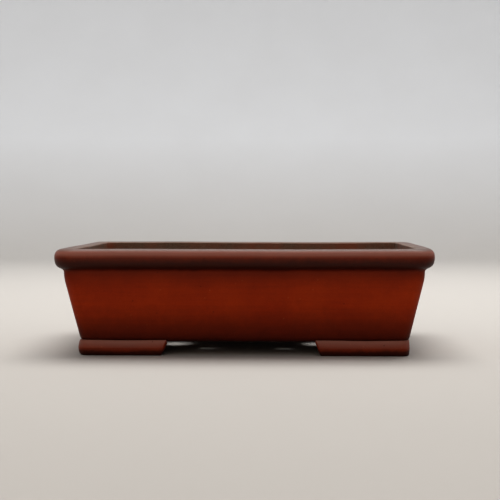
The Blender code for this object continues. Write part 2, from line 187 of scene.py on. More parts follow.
class Pot:
    """The pot's planes, and its profiles as distances n out from the neck plane at height z."""

    # The under-lip's two Bezier curves: where they meet, as n and height over the lip's join;
    # their direction there; and how long their handles are.
    MEET = (3.7e-3, 0.55e-3)
    LEAN = np.array([1.5e-3, 0.65e-3])
    FULL_HANDLES = (4.2e-3, 2.1)        # straight down at the fullest line; leans at the meeting
    HOLLOW_HANDLES = (1.1, 0.9e-3)      # leans at the meeting; below the join, on the neck
    RUN_OUT = 0.4e-3                    # how far below the slope's top the hollow one ends

    # Powers of the superellipses: 2 is an ellipse, and more is squarer.
    LIP_OUTER, LIP_INNER, FOOT_LOWER, FOOT_UPPER = 2.4, 3.0, 2.0, 1.7

    def __init__(self, s):
        self.s = s
        self.neck_x = (CAD_HIGH.x - CAD_LOW.x) / 2 - s.lip_overhang
        self.neck_y = (CAD_HIGH.y - CAD_LOW.y) / 2 - s.lip_overhang
        self.top = CAD_HIGH.z
        self.fullest = self.top - s.lip_fullest
        self.join = LIP_LOW.z
        self.under, self.floor = SLAB_LOW.z, SLAB_HIGH.z
        self.slope_top = self.join - SEAM - s.neck_height
        self.slope_start = self.slope_top - s.neck_radius * math.sin(s.wall_slope)
        self.foot_top = FOOT_HIGH.z + s.foot_rise
        # The lip's underside: a full curve from the fullest line down to a point where it meets
        # a hollow one, which runs out into the neck.
        over, t = s.lip_overhang, np.linspace(0.0, 1.0, 60)
        meet = np.array([self.MEET[0], self.join + self.MEET[1]])
        full = bezier([(over, self.fullest), (over, self.fullest - self.FULL_HANDLES[0]),
                       meet + self.FULL_HANDLES[1] * self.LEAN, meet], t)
        hollow = bezier([meet, meet - self.HOLLOW_HANDLES[0] * self.LEAN,
                         (0.0, self.join - self.HOLLOW_HANDLES[1]),
                         (0.0, self.slope_top - self.RUN_OUT)], t)
        self.under_lip = np.vstack([full, hollow[1:]])[::-1]

    def wall_face(self, z):
        """Upright above the slope, then a circular arc, then a straight slope inwards."""
        s = self.s
        z = np.asarray(z, float)
        drop = np.clip(self.slope_top - z, 0.0, self.slope_top - self.slope_start)
        turned = np.sqrt(s.neck_radius ** 2 - drop ** 2) - s.neck_radius
        return turned - np.maximum(self.slope_start - z, 0.0) * math.tan(s.wall_slope)

    def bottom_rounding(self, z):
        """How far a circle that touches the slope and the underside cuts in from the slope."""
        r, a = self.s.bottom_radius, self.s.wall_slope
        tangent = self.under + r * (1 - math.sin(a))
        centre = self.wall_face(tangent) - r * math.cos(a)
        drop = self.under + r - np.asarray(z, float)
        rounded = centre + np.sqrt(np.maximum(r ** 2 - drop ** 2, 0.0))
        return np.where(z >= tangent, 0.0, self.wall_face(z) - rounded)

    def skin(self, z):
        """The outer face up to the lip's fullest line: the wall, then the lip's underside."""
        under_lip = np.interp(z, self.under_lip[:, 1], self.under_lip[:, 0])
        return np.where(z > self.under_lip[0, 1], under_lip,
                        self.wall_face(z) - self.bottom_rounding(z))

    def skin_corner(self, n, z):
        """Plan radius of the outer face: the wall's, growing under the lip to the lip's own."""
        s = self.s
        grown = s.wall_corner + np.maximum(n, 0) * (s.lip_corner - s.wall_corner) / s.lip_overhang
        return grown - self.bottom_rounding(z)

    def hollow_corner(self, z):
        """Plan radius of the hollow: grows evenly from the floor's to the mouth's."""
        return np.interp(z, [self.floor, self.join], [self.s.inner_corner, self.s.mouth_corner])

    def top_corner(self, n):
        """Plan radius over the lip: from the mouth's to the fullest line's, in step with n."""
        s = self.s
        across = (n + s.wall_thickness) / (s.wall_thickness + s.lip_overhang)
        return s.mouth_corner + across * (s.lip_corner - s.mouth_corner)

    def lap_face(self, z):
        """Inner face of a foot's lap: the wall's skin moved out and down by the seam."""
        z = np.asarray(z) + SEAM
        return self.wall_face(z) - self.bottom_rounding(z) + SEAM


def superellipse(a, b, power, steps):
    """A quarter of |x/a|^p + |y/b|^p = 1, from (a, 0) to (0, b), in equal turns."""
    turn = np.linspace(0.0, math.pi / 2, steps + 1)
    return a * np.cos(turn) ** (2 / power), b * np.sin(turn) ** (2 / power)


def hair(start, end, steps, width=2.0e-5):
    """Even values from start to end, and one more a hair's breadth inside each end.

    The hair-thin faces hold the smooth normal at a seam between two pieces.
    """
    step_in = math.copysign(width, end - start)
    return np.r_[start, start + step_in, np.linspace(start, end, steps)[1:-1],
                 end - step_in, end]


# ---- meshes
def placed(name, data):
    """An object of this data, linked to the scene."""
    thing = bpy.data.objects.new(name, data)
    bpy.context.scene.collection.objects.link(thing)
    return thing


def new_piece(name, points, faces, material, slot, **marks):
    """A smooth closed mesh from points and faces, turned outwards if its volume is negative.

    marks are values at the points that the clay reads: outside is 1 on the pot's outside, where
    its painted shade goes, and 0 in its hollow; damp is 1 at the edge of a hole in the base.
    """
    mesh = bpy.data.meshes.new(name)
    mesh.from_pydata(points.reshape(-1, 3).tolist(), [], faces)
    for mark, values in marks.items():
        layer = mesh.attributes.new(mark, "FLOAT", "POINT")
        layer.data.foreach_set("value", np.asarray(values, np.float32).ravel())
    bm = bmesh.new()
    bm.from_mesh(mesh)
    bmesh.ops.remove_doubles(bm, verts=bm.verts, dist=WELD)
    if bm.calc_volume(signed=True) < 0:
        bmesh.ops.reverse_faces(bm, faces=bm.faces)
    bm.to_mesh(mesh)
    bm.free()
    mesh.shade_smooth()
    mesh.set_sharp_from_angle(angle=CRISP)
    mesh.materials.append(material)
    piece = placed(name + "_finish", mesh)
    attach(piece, "root")
    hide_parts(name)


def grid_faces(rows, columns, closed_rows=False, closed_columns=False, first=0):
    """Quads of a rows by columns grid of points, joined round where it is closed."""
    i = np.arange(rows if closed_rows else rows - 1)[:, None]
    j = np.arange(columns if closed_columns else columns - 1)[None, :]
    i1, j1 = (i + 1) % rows, (j + 1) % columns
    quads = np.stack([i * columns + j, i * columns + j1, i1 * columns + j1, i1 * columns + j], -1)
    return (quads.reshape(-1, 4) + first).tolist()


def tube_faces(rows, columns, first=0):
    """Faces of a closed section carried along a path: its quads, and a cap at each end."""
    start = first + columns * np.arange(rows)
    faces = grid_faces(rows, columns, closed_rows=True, first=first)
    return faces + [start.tolist(), (start + columns - 1)[::-1].tolist()]


def wander(points, amount):
    """Hand-made unevenness: long sine waves of the place, none at the ground, most at the lip.

    Each coordinate moves by a sum of sines, worked out from the place alone, so that a shared
    edge of two pieces moves as one. All of it is in multiples of the amount.
    """
    x, y, z = points[..., 0], points[..., 1], points[..., 2]
    still, full = 0.014, 0.064      # the clay is true up to the first height, loose at the second
    lift = np.clip((z - still) / (full - still), 0.0, 1.0)
    out_x = np.sin(y * 41 + z * 30 + 0.7) + 0.6 * np.sin(y * 97 - z * 55 + 2.1)
    out_y = np.sin(x * 33 - z * 28 + 1.9) + 0.6 * np.sin(x * 83 + z * 47 + 0.4)
    up = np.sin(x * 29 + 0.5) * np.cos(y * 31 + 0.2) + 0.5 * np.sin(x * 71 + y * 53 + 1.0)
    # The back rose in the kiln, most at its left corner.
    back_rise, corner_rise = 3.8, 2.6
    leftward = np.clip(0.5 - x / 0.3, 0.0, 1.0)
    risen = (back_rise + corner_rise * leftward) * np.clip(y / 0.11, 0.0, 1.0)
    # The ends bow up between their corners as a parabola does, the right one further.
    end_bow, right_more = 4.5, 2.0
    bow = (end_bow + right_more * np.sign(x)) * np.clip((np.abs(x) - 0.10) / 0.03, 0.0, 1.0)
    risen = risen + bow * np.clip(1.0 - (y / CAD_HIGH.y) ** 2, 0.0, 1.0)
    waves, settled = 0.6, 0.2
    moved = np.stack([out_x * lift * waves, out_y * lift * waves,
                      (up * waves + risen) * lift ** 2 - settled * lift], -1)
    return points + amount * moved


def side_path(n, corner, half, neck, quarter, corner_steps=14, straight_steps=30):
    """Plan points of one side between its mitres, for every profile point.

    From the mitre at one end round half a corner of the profile point's own radius, straight
    along, and round half a corner to the other mitre. The last step to each mitre is a hair's
    breadth, so that the two sides' smooth normals agree there.
    """
    turn = np.r_[math.pi / 4, math.pi / 4 + 1.0e-3,
                 np.linspace(math.pi / 4, math.pi / 2, corner_steps + 1)[1:]]
    n, corner = n[:, None], corner[:, None]
    right = half + n - corner
    x_corner, y_corner = right + corner * np.cos(turn), n - corner + corner * np.sin(turn)
    along = np.linspace(1.0, -1.0, straight_steps + 1)[1:-1]
    x = np.concatenate([x_corner, right * along, -x_corner[:, ::-1]], 1)
    y = np.concatenate([y_corner, n + 0 * along, y_corner[:, ::-1]], 1) + neck
    for _ in range(quarter):
        x, y = -y, x
    return x, y


def side_piece(pot, name, quarter, profile, material, slot):
    """One mitred side of the pot: a closed profile of (n, z, corner, outside) along its path."""
    n, z, corner, outside = profile
    long_side = quarter % 2 == 0
    half, neck = (pot.neck_x, pot.neck_y) if long_side else (pot.neck_y, pot.neck_x)
    x, y = side_path(n, corner, half, neck, quarter)
    points = np.stack([x, y, np.broadcast_to(z[:, None], x.shape)], -1)
    points = wander(points, pot.s.hand_wander)
    shown = np.broadcast_to(outside[:, None], x.shape)
    new_piece(name, points, tube_faces(*x.shape), material, slot, outside=shown)


def wall_profile(pot):
    """The wall's section: rounded bottom, slope, neck, top, inner face and floor fillet."""
    s = pot.s
    r, a = s.bottom_radius, s.wall_slope
    turn = np.linspace(0.0, math.pi / 2 - a, 11)[:-1]
    z_round = pot.under + r * (1 - np.cos(turn))
    z_slope = np.linspace(pot.under + r * (1 - math.sin(a)), pot.slope_start, 14)
    z_arc = np.linspace(pot.slope_start, pot.under_lip[0, 1], 9)[1:]
    z_neck = hair(pot.under_lip[0, 1], pot.join, 12)[1:]
    z_out = np.r_[z_round, z_slope, z_arc, z_neck]
    n_out = pot.skin(z_out)
    n_out[-1] = np.interp(pot.join, pot.under_lip[:, 1], pot.under_lip[:, 0])
    c_out = pot.skin_corner(n_out, z_out)

    fillet = s.floor_fillet
    centre_z = pot.floor + fillet
    centre_n = float(pot.wall_face(centre_z)) - s.wall_thickness - fillet / math.cos(a)
    swing = np.linspace(-a, -math.pi / 2, 10)
    z_fillet = centre_z + fillet * np.sin(swing)
    n_fillet = centre_n + fillet * np.cos(swing)
    z_in = np.r_[np.linspace(pot.join, pot.slope_start, 8)[:-1],
                 np.linspace(pot.slope_start, z_fillet[0], 10)[:-1]]
    n_in = pot.wall_face(z_in) - s.wall_thickness
    # The wall passes just under the floor's surface to its own hidden edge by the base.
    tuck = 1.0e-4
    z_edge = np.array([pot.floor - tuck, pot.floor - tuck, pot.under])
    n_edge = np.array([n_fillet[-1], float(pot.wall_face(pot.floor)) - s.wall_thickness,
                       float(pot.wall_face(pot.under)) - s.wall_thickness])
    n = np.r_[n_out, n_in, n_fillet, n_edge]
    z = np.r_[z_out, z_in, z_fillet, z_edge]
    corner = np.r_[c_out, pot.hollow_corner(z[len(n_out):])]
    return n, z, corner, (np.arange(len(n)) < len(n_out)).astype(float)


def lip_profile(pot):
    """The lip's section: underside, fullest line, soft crown, rounded inner edge, inner face."""
    s = pot.s
    z_under = hair(pot.join, pot.fullest, 18)
    n_under = np.interp(z_under, pot.under_lip[:, 1], pot.under_lip[:, 0])
    c_under = pot.skin_corner(n_under, z_under)
    across, up = superellipse(s.lip_overhang - s.lip_crown, s.lip_fullest, pot.LIP_OUTER, 16)
    n_outer, z_outer = across[1:] + s.lip_crown, pot.fullest + up[1:]
    across, up = superellipse(s.wall_thickness + s.lip_crown, s.lip_inner_drop,
                              pot.LIP_INNER, 16)
    n_inner = (s.lip_crown - across)[::-1][1:]
    z_inner = (pot.top - s.lip_inner_drop + up)[::-1][1:]
    z_face = hair(z_inner[-1], pot.join, 5)[1:]
    n_face = np.full(len(z_face), -s.wall_thickness)
    n_top = np.r_[n_outer, n_inner, n_face]
    n = np.r_[n_under, n_top]
    z = np.r_[z_under, z_outer, z_inner, z_face]
    shown = np.r_[np.ones(len(n_under) + len(n_outer)),
                  np.linspace(1.0, 0.0, len(n_inner)), np.zeros(len(n_face))]
    return n, z, np.r_[c_under, pot.top_corner(n_top)], shown


def foot_profile(pot):
    """A foot's section: two quarter superellipses outside, the lap, the top and the inner face."""
    s = pot.s
    face = float(pot.wall_face(pot.under)) + s.foot_proud
    land, chamfer, soft, inner_round = 0.15e-3, 0.2e-3, 0.8e-3, 3.0e-3
    edge = float(pot.lap_face(pot.foot_top)) + land
    across, down = superellipse(s.foot_inset, s.foot_fullest, pot.FOOT_LOWER, 9)
    n_low = (face - s.foot_inset + across)[::-1]
    z_low = (s.foot_fullest - down)[::-1]
    across, up = superellipse(face - edge, pot.foot_top - s.foot_fullest, pot.FOOT_UPPER, 14)
    n_high, z_high = (edge + across)[1:], (s.foot_fullest + up)[1:]
    z_lap = np.linspace(pot.foot_top, pot.under - SEAM, 5)
    n_lap = pot.lap_face(z_lap)
    inner = face - s.foot_width
    turn = np.linspace(0.0, math.pi / 2, 5)
    n_in = np.r_[inner + chamfer, inner, inner + soft * (1 - np.cos(turn))]
    z_in = np.r_[pot.under - SEAM, pot.under - SEAM - chamfer,
                 soft * (1 - np.sin(turn))]
    n = np.r_[n_low, n_high, n_lap, n_in]
    z = np.r_[z_low, z_high, z_lap, z_in]
    outer = n > inner + s.foot_width / 2
    corner = np.where(outer, s.wall_corner + n - face, inner_round + (n - inner))
    lap = slice(len(n_low) + len(n_high), len(n_low) + len(n_high) + len(n_lap))
    corner[lap] = s.wall_corner + n_lap - pot.wall_face(z_lap)
    return n, z, corner, face


def foot_piece(pot, name, sign_x, sign_y, longer, swell, material, slot):
    """An L-shaped foot: its section carried along one leg, round the corner and up the other.

    At each leg's end the section shrinks about its middle as a quarter circle does, which
    rounds the end's edges, and the end leans back towards the ground.
    """
    s = pot.s
    n, z, corner, face = foot_profile(pot)
    swing = np.linspace(0.0, math.pi / 2, 7)
    back, shrink = s.foot_end_round * (1 - np.cos(swing)), s.foot_end_round * (1 - np.sin(swing))
    half_n, half_z = s.foot_width / 2, pot.foot_top / 2
    middle = face - half_n
    section_n = middle + (n[:, None] - middle) * (1 - shrink / half_n)
    section_z = half_z + (z[:, None] - half_z) * (1 - shrink / half_z)

    def leg(size):
        """Stations of a leg from its end to the corner: how far along, and the section there."""
        slant = s.foot_slant * (1 - section_z / pot.foot_top)
        ends = face - size + slant + back
        stop = (n - corner)[:, None]
        t = np.linspace(0.0, 1.0, 15)[1:-1]
        along = ends[:, -1:] + (stop - ends[:, -1:]) * t
        full = np.ones_like(t)
        return (np.concatenate([ends, along], 1),
                np.concatenate([section_n, n[:, None] * full], 1),
                np.concatenate([section_z, z[:, None] * full], 1))

    x_long, y_long, z_long = leg(s.foot_long + longer)
    y_short, x_short, z_short = leg(s.foot_short)
    turn = np.linspace(math.pi / 2, 0.0, 17)
    x_turn = (n - corner)[:, None] + corner[:, None] * np.cos(turn)
    y_turn = (n - corner)[:, None] + corner[:, None] * np.sin(turn)
    z_turn = z[:, None] * np.ones_like(turn)
    # A corner is handled most, so its shoulder is a little lower than the legs'.
    wear = 0.5e-3
    worn = wear * np.sin(turn * 2) ** 2 * np.clip(z[:, None] / pot.foot_top - 0.5, 0, 1)
    # Hand-pressed swelling of the end face, full at the fullest line and none at the lap.
    edge = float(pot.lap_face(pot.foot_top))
    pressed = swell * np.clip((n - edge) / (face - edge), 0.0, 1.0)[:, None]
    x_turn = x_turn + pressed * np.cos(turn)
    x_short = x_short + pressed
    x = np.concatenate([x_long, x_turn - worn, x_short[:, ::-1]], 1)
    y = np.concatenate([y_long, y_turn - worn, y_short[:, ::-1]], 1)
    z_all = np.concatenate([z_long, z_turn, z_short[:, ::-1]], 1)
    # The top edge was trimmed by eye: it dips in long waves, only where it shows.
    dip, true_part, waves = 0.35e-3, 0.45, 95
    wave = 0.5 + 0.5 * np.sin((x * sign_x + y * 0.7) * waves + 1.4 * sign_x + sign_y)
    free = np.clip(z_all / pot.foot_top - true_part, 0, 1) / (1 - true_part)
    z_all = z_all - dip * wave * free
    points = np.stack([sign_x * (pot.neck_x + x), sign_y * (pot.neck_y + y), z_all], -1)
    new_piece(name, points, tube_faces(*x.shape), material, slot, outside=np.ones(x.size))


def cell_outline(low, high, cut, step=0.002):
    """Points round a rectangle; cut lists the corners to round, as (sign x, sign y, radius)."""
    (x0, y0), (x1, y1) = low, high
    nx, ny = max(round((x1 - x0) / step), 2), max(round((y1 - y0) / step), 2)
    bottom = np.stack([np.linspace(x0, x1, nx + 1)[:-1], np.full(nx, y0)], -1)
    right = np.stack([np.full(ny, x1), np.linspace(y0, y1, ny + 1)[:-1]], -1)
    top = np.stack([np.linspace(x1, x0, nx + 1)[:-1], np.full(nx, y1)], -1)
    left = np.stack([np.full(ny, x0), np.linspace(y1, y0, ny + 1)[:-1]], -1)
    outline = np.vstack([bottom, right, top, left])
    for sign_x, sign_y, radius in cut:
        corner = np.array([x1 if sign_x > 0 else x0, y1 if sign_y > 0 else y0])
        centre = corner - radius * np.array([sign_x, sign_y])
        out = (outline - centre) * np.array([sign_x, sign_y])
        inside = (out > 0).all(1)
        reach = np.hypot(out[:, 0], out[:, 1])
        over = inside & (reach > radius)
        outline[over] = centre + (outline - centre)[over] * (radius / reach[over])[:, None]
    return outline


def slab_cell(outline, centre, radius, rim, low, high, scale):
    """One cell of the base: a soft-edged hole, its profile carried round and out to the outline.

    Rows run from the outline on the underside in to the hole's rim, up its side, and out to
    the outline on the top; scale draws the underside in to the slab's bevelled edge.
    """
    ray = outline - centre
    turn = ray / np.hypot(ray[:, 0], ray[:, 1])[:, None]
    swing = np.linspace(0.0, math.pi / 2, 6)
    r_rim = radius + rim * (1 - np.sin(swing))
    z_rim = rim * (1 - np.cos(swing))
    ring = np.r_[r_rim, r_rim[::-1]]
    z_ring = np.r_[low + z_rim, (high - z_rim)[::-1]]
    side = centre + ring[:, None, None] * turn
    spread_out = np.array([1.0, 0.7, 0.42, 0.2, 0.07])[:, None, None]
    under = side[:1] + (outline * scale - side[:1]) * spread_out
    over = (side[-1:] + (outline - side[-1:]) * spread_out)[::-1]
    xy = np.r_[under, side, over]
    z = np.r_[np.full(len(under), low), z_ring, np.full(len(over), high)]
    return np.concatenate([xy, np.broadcast_to(z[:, None, None], xy.shape[:2] + (1,))], -1)


def base_piece(pot, material):
    """The slab, as six cells that each hold one hole: two for drainage and four for tie wires.

    Its edge leans in towards the underside as the walls do.
    """
    s = pot.s
    inner = float(pot.wall_face(pot.floor)) - s.wall_thickness
    half_x, half_y = pot.neck_x + inner, pot.neck_y + inner
    lower = float(pot.wall_face(pot.under)) - s.wall_thickness
    scale = np.array([(pot.neck_x + lower) / half_x, (pot.neck_y + lower) / half_y])
    drain_low, drain_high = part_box("drainage_screen_right")
    drain_x = (drain_low.x + drain_high.x) / 2
    margin, damp_reach = 3.0e-3, 12.0e-3
    split = drain_x - s.drain_radius - margin
    cells = []
    for sign in (-1, 1):
        x0, x1 = sorted((sign * split, sign * half_x))
        cut = [(sign, y_sign, s.inner_corner) for y_sign in (-1, 1)]
        cells.append((cell_outline((x0, -half_y), (x1, half_y), cut),
                      (sign * drain_x, 0.0), s.drain_radius, s.drain_rim))
        x0, x1 = sorted((0.0, sign * split))
        for y_sign in (-1, 1):
            y0, y1 = sorted((0.0, y_sign * half_y))
            cells.append((cell_outline((x0, y0), (x1, y1), []),
                          (sign * s.tie_x, y_sign * s.tie_y), s.tie_radius, s.tie_rim))
    points, damp, faces, first = [], [], [], 0
    for outline, centre, radius, rim in cells:
        grid = slab_cell(outline, np.array(centre), radius, rim, pot.under, pot.floor, scale)
        rows, columns = grid.shape[:2]
        faces += grid_faces(rows, columns, closed_columns=True, first=first)
        # The slab's edge: quads from the underside to the top along its outer boundary.
        inset = np.array([half_x, half_y]) - np.abs(outline)
        at_edge = (inset < WELD).any(1) | (inset < s.inner_corner).all(1)
        j = np.flatnonzero(at_edge & np.roll(at_edge, -1))
        j1, last = (j + 1) % columns, (rows - 1) * columns
        quads = np.stack([j, j1, last + j1, last + j], -1)[:, ::-1] + first
        faces += quads.tolist()
        points.append(grid.reshape(-1, 3))
        away = np.hypot(*(grid[..., :2] - centre).reshape(-1, 2).T) - radius
        damp.append(np.clip(1.0 - away / damp_reach, 0.0, 1.0))
        first += rows * columns
    points = np.vstack(points)
    new_piece("base_slab", points, faces, material, "wall_clay",
              outside=np.zeros(len(points)), damp=np.concatenate(damp))


def screen_piece(s, name, net):
    """A moulded mesh: two layers of level strands, fused where they cross.

    A strand is an ellipse carried along a straight line, and swells by a cosine of the
    distance along it, so that it is thickest at every knot.
    """
    # A strand's height in the screen's; how much thinner it is half way; its snipped tip.
    strand_height, slack, tip = 0.72, 0.14, 0.6
    low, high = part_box(name)
    middle, half = (low + high) / 2, (high.x - low.x) / 2
    thick = (high.z - low.z) * strand_height
    knots = (np.arange(s.mesh_cells + 1) - s.mesh_cells / 2) * s.mesh_pitch
    along = np.linspace(-half, half, s.mesh_cells * 6 + 7)
    turn = np.linspace(0.0, 2 * math.pi, 11)[:-1]
    swell = 1 - slack + slack * np.cos(2 * math.pi * (along - knots[0]) / s.mesh_pitch)
    swell[[0, -1]] *= tip
    side = s.mesh_strand / 2 * np.cos(turn)[:, None] * swell
    up = thick / 2 * np.sin(turn)[:, None] * np.minimum(swell + 0.05, 1.0)
    shape = (len(knots), len(turn), len(along))
    u = np.broadcast_to(along, shape)
    v = np.broadcast_to(knots[:, None, None] + side, shape)
    w = np.broadcast_to(up, shape)
    strands = [np.stack([middle.x + u, middle.y + v, low.z + thick / 2 + w], -1),
               np.stack([middle.x + v, middle.y + u, high.z - thick / 2 + w], -1)]
    grid = np.concatenate(strands)
    faces = []
    for i in range(len(grid)):
        tube = tube_faces(len(turn), len(along), first=i * len(turn) * len(along))
        faces += tube if i < len(knots) else [face[::-1] for face in tube]
    new_piece(name, grid, faces, net, "screen_plastic")


def clip_piece(s, name, wire):
    """A bent clip: a circle carried along a bridge, two legs and two toes, its ends rounded."""
    low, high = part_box(name)
    middle_x = (low.x + high.x) / 2
    r, bend = s.wire_radius, 2 * s.wire_radius
    above, below = high.z - r, low.z + r
    swing = np.linspace(0.0, math.pi / 2, 9)
    over_x = s.clip_leg - bend + bend * np.sin(swing)
    over_z = above - bend + bend * np.cos(swing)
    toe_x = s.clip_leg + bend - bend * np.cos(swing)
    toe_z = below + bend - bend * np.sin(swing)
    run = np.linspace(toe_x[-1], s.clip_toe, 6)[1:]
    # The snipped end closes in over a short way, to a blunt face.
    short_way, blunt = 0.4 * r, 0.72 * r
    snip = s.clip_toe - short_way * (1 - np.sin(swing[::2]))
    half_x = np.r_[np.linspace(0, over_x[0], 5)[1:-1], over_x, toe_x, run[:-1], snip]
    half_z = np.r_[np.full(3, above), over_z, toe_z, np.full(len(run) - 1 + len(snip), below)]
    half_r = np.full(len(half_x), r)
    half_r[-len(snip):] = blunt + (r - blunt) * np.cos(swing[::2])
    x = np.r_[-half_x[::-1], 0.0, half_x]
    z = np.r_[half_z[::-1], above, half_z]
    radius = np.r_[half_r[::-1], r, half_r]
    dx, dz = np.gradient(x), np.gradient(z)
    size = np.hypot(dx, dz)
    turn = np.linspace(0.0, 2 * math.pi, 15)[:-1][:, None]
    points = np.stack([middle_x + x - radius * np.cos(turn) * dz / size,
                       radius * np.sin(turn) + 0 * x,
                       z + radius * np.cos(turn) * dx / size], -1)
    new_piece(name, points, tube_faces(*points.shape[:2]), wire, "clip_wire")


# ---- materials
def add(tree, kind, inputs=None, output=0, stops=(), **settings):
    """Add a node with its settings and links, and return one of its outputs.

    kind is its type's name after ShaderNode; inputs are values, or other nodes' outputs to
    link; stops are a ramp's (place, grey level).
    """
    node = tree.nodes.new("ShaderNode" + kind)
    for name, value in settings.items():
        setattr(node, name, value)
    for key, value in (inputs or {}).items():
        if isinstance(value, bpy.types.NodeSocket):
            tree.links.new(value, node.inputs[key])
        else:
            node.inputs[key].default_value = value
    if stops:
        elements = node.color_ramp.elements
        elements[0].position, elements[1].position = stops[0][0], stops[-1][0]
        for place, _ in stops[1:-1]:
            elements.new(place)
        for element, (_, level) in zip(elements, stops):
            element.color = (level, level, level, 1.0)
    return node.outputs[output] if node.outputs else None


def new_material(name):
    """A material with no nodes, the helper that adds them, and the Object coordinates."""
    material = bpy.data.materials.new(name)
    material.use_nodes = True
    material.node_tree.nodes.clear()
    node = partial(add, material.node_tree)
    return material, node, node("TexCoord", output="Object")


def per_metre(millimetres):
    """The texture scale that gives a pattern this size."""
    return 1000.0 / millimetres


def unglazed_stoneware(name, body, dense, f, roughness, gloss, painted_shade_bands, sheen_share):
    """Slab-rolled stoneware, burnished with a wet rib when leather-hard and fired unglazed.

    Gives the eye a dry, close skin with a faint satin: clouded colour from the kiln, level
    rib marks, pale grog, small pits and a darker stain where water leaves it. Its colour also
    holds painted light: painted shade under the lip, near the ground and in the pits, a painted
    sheen on faces that look up and a painted grey reflection on level faces.
    painted_shade_bands are (height as a part of the pot's, amount of painted shade) stops, and
    sheen_share is how much painted sheen is left on faces that look up.
    """
    material, node, where = new_material(name)
    # Rib marks: level streaks 62 mm long and 1.9 mm apart, coarser than the real 0.5 mm.
    stretch = node("Mapping", {"Vector": where, "Scale": (per_metre(62), per_metre(62),
                                                          per_metre(1.9))})
    # Kiln clouding in patches of 36 mm, mottle of 7 mm, and clay grain of 0.9 mm, which is
    # three times as coarse as the real grain so that it shows.
    cloud, mottle, grain, ribs = [
        node("TexNoise", {"Vector": at, "Scale": scale, "Detail": detail, "Roughness": fine})
        for at, scale, detail, fine in ((where, per_metre(36), 5.0, 0.55),
                                        (where, per_metre(7), 4.0, 0.6),
                                        (where, per_metre(0.9), 3.0, 0.7),
                                        (stretch, 1.0, 3.0, 0.6))]
    # Grog: one in forty cells of 2.4 mm holds a pale grit, drawn 1.1 mm across for 0.3 mm.
    # Pits: one in six cells of 6 mm holds a pinhole, drawn 0.8 mm across.
    spots, seeds = [], material.node_tree
    for cell, left_out, full, faded in ((2.4, 0.975, 0.16, 0.30), (6, 0.82, 0.03, 0.10)):
        away = node("TexVoronoi", {"Vector": where, "Scale": per_metre(cell)})
        draw = node("TexWhiteNoise", {"Vector": seeds.nodes[-1].outputs["Position"]})
        held = node("Math", {0: draw, 1: left_out}, operation="GREATER_THAN")
        disc = node("ValToRGB", {"Fac": away}, stops=[(full, 1.0), (faded, 0.0)])
        spots.append(node("Math", {0: disc, 1: held}, operation="MULTIPLY"))
    speck, pits = spots

    # Painted shade lies at given heights, dark under the lip and near the ground,
    # its edges softened by the clouding, outside only.
    tall = node("SeparateXYZ", {"Vector": where}, "Z")
    tall = node("Math", {0: tall, 1: CAD_HIGH.z}, operation="DIVIDE", use_clamp=True)
    drift = node("Math", {0: cloud, 1: 0.06, 2: -0.045}, operation="MULTIPLY_ADD")
    drift = node("Math", {0: mottle, 1: 0.03, 2: drift}, operation="MULTIPLY_ADD")
    tall = node("Math", {0: tall, 1: drift}, operation="ADD", use_clamp=True)
    outside = node("Attribute", output="Fac", attribute_name="outside")
    hollow = node("Math", {0: 1.0, 1: outside}, operation="SUBTRACT", use_clamp=True)
    # Painted sheen lies on faces that look up, stronger and weaker with the clouding.
    normal = node("NewGeometry", output="Normal")
    facing = node("SeparateXYZ", {"Vector": normal}, "Z")
    patchy = node("ValToRGB", {"Fac": cloud}, stops=[(0.25, 0.8 * sheen_share), (0.7, sheen_share)])
    # The hollow is stained by soil: patchy, with dark crumbs and pale water lines.
    soil = node("Math", {0: mottle, 1: 0.4, 2: cloud}, operation="MULTIPLY_ADD")
    soil = node("ValToRGB", {"Fac": soil}, stops=[(0.52, 0.42), (0.86, 0.98)])
    soil = node("Math", {0: soil, 1: hollow}, operation="MULTIPLY")
    crumbs = node("Math", {0: cloud, 1: grain}, operation="MULTIPLY")
    damp = node("Attribute", output="Fac", attribute_name="damp")

    # The colour is laid on in this order: a pattern, the stops that turn it into an amount, its
    # share, and its colour. Where there is no colour, the amount's own grey is a shade.
    tone = body
    for pattern, stops, share, colour in (
            (cloud, [(0.36, 0.0), (0.66, 1.0)], 1.0, dense),
            (speck, (), 0.30, f.grog),
            (ribs, [(0.25, 0.91), (0.75, 1.05)], 1.0, None),
            (mottle, [(0.30, 0.94), (0.70, 1.05)], 1.0, None),
            (grain, [(0.30, 0.91), (0.70, 1.08)], 1.0, None),
            # Painted shade by height, outside only.
            (tall, painted_shade_bands, outside, f.painted_shade_and_stain),
            # Painted sheen on faces that look up.
            (facing, [(0.0, 0.0), (0.10, 0.38), (0.28, 1.0), (0.58, 1.0), (0.9, 0.5)], patchy,
             f.painted_sheen),
            # Painted grey reflection of the backdrop on level faces.
            (facing, [(0.60, 0.0), (0.93, 0.64)], 1.0, f.painted_reflection),
            (soil, (), 1.0, f.soiled),
            (crumbs, [(0.20, 0.0), (0.38, 0.5)], hollow, f.painted_shade_and_stain),
            (tall, [(0.24, 0.0), (0.30, 0.30), (0.33, 0.05), (0.58, 0.08), (0.66, 0.42),
                    (0.69, 0.0)], soil, f.mineral),
            (damp, (), 0.55, f.painted_shade_and_stain),
            # Painted shade inside each pinhole.
            (pits, (), 0.7, f.painted_shade_and_stain)):
        amount = node("ValToRGB", {"Fac": pattern}, stops=stops) if stops else pattern
        if colour is None:
            tone = node("Mix", {0: share, 6: tone, 7: amount}, 2, data_type="RGBA",
                        blend_type="MULTIPLY")
        else:
            amount = node("Math", {0: amount, 1: share}, operation="MULTIPLY")
            tone = node("Mix", {0: amount, 6: tone, 7: colour}, 2, data_type="RGBA")

    # Relief in millimetres, added up: grain, ribs, the rib's long swells, mottle, pits, grog.
    relief = node("Math", {0: grain, 1: 0.04}, operation="MULTIPLY")
    for pattern, high in ((ribs, 0.05), (cloud, 0.10), (mottle, 0.04), (pits, -0.15),
                          (speck, 0.03)):
        relief = node("Math", {0: pattern, 1: high, 2: relief}, operation="MULTIPLY_ADD")
    bump = node("Bump", {"Height": relief, "Strength": 0.8, "Distance": 0.001})
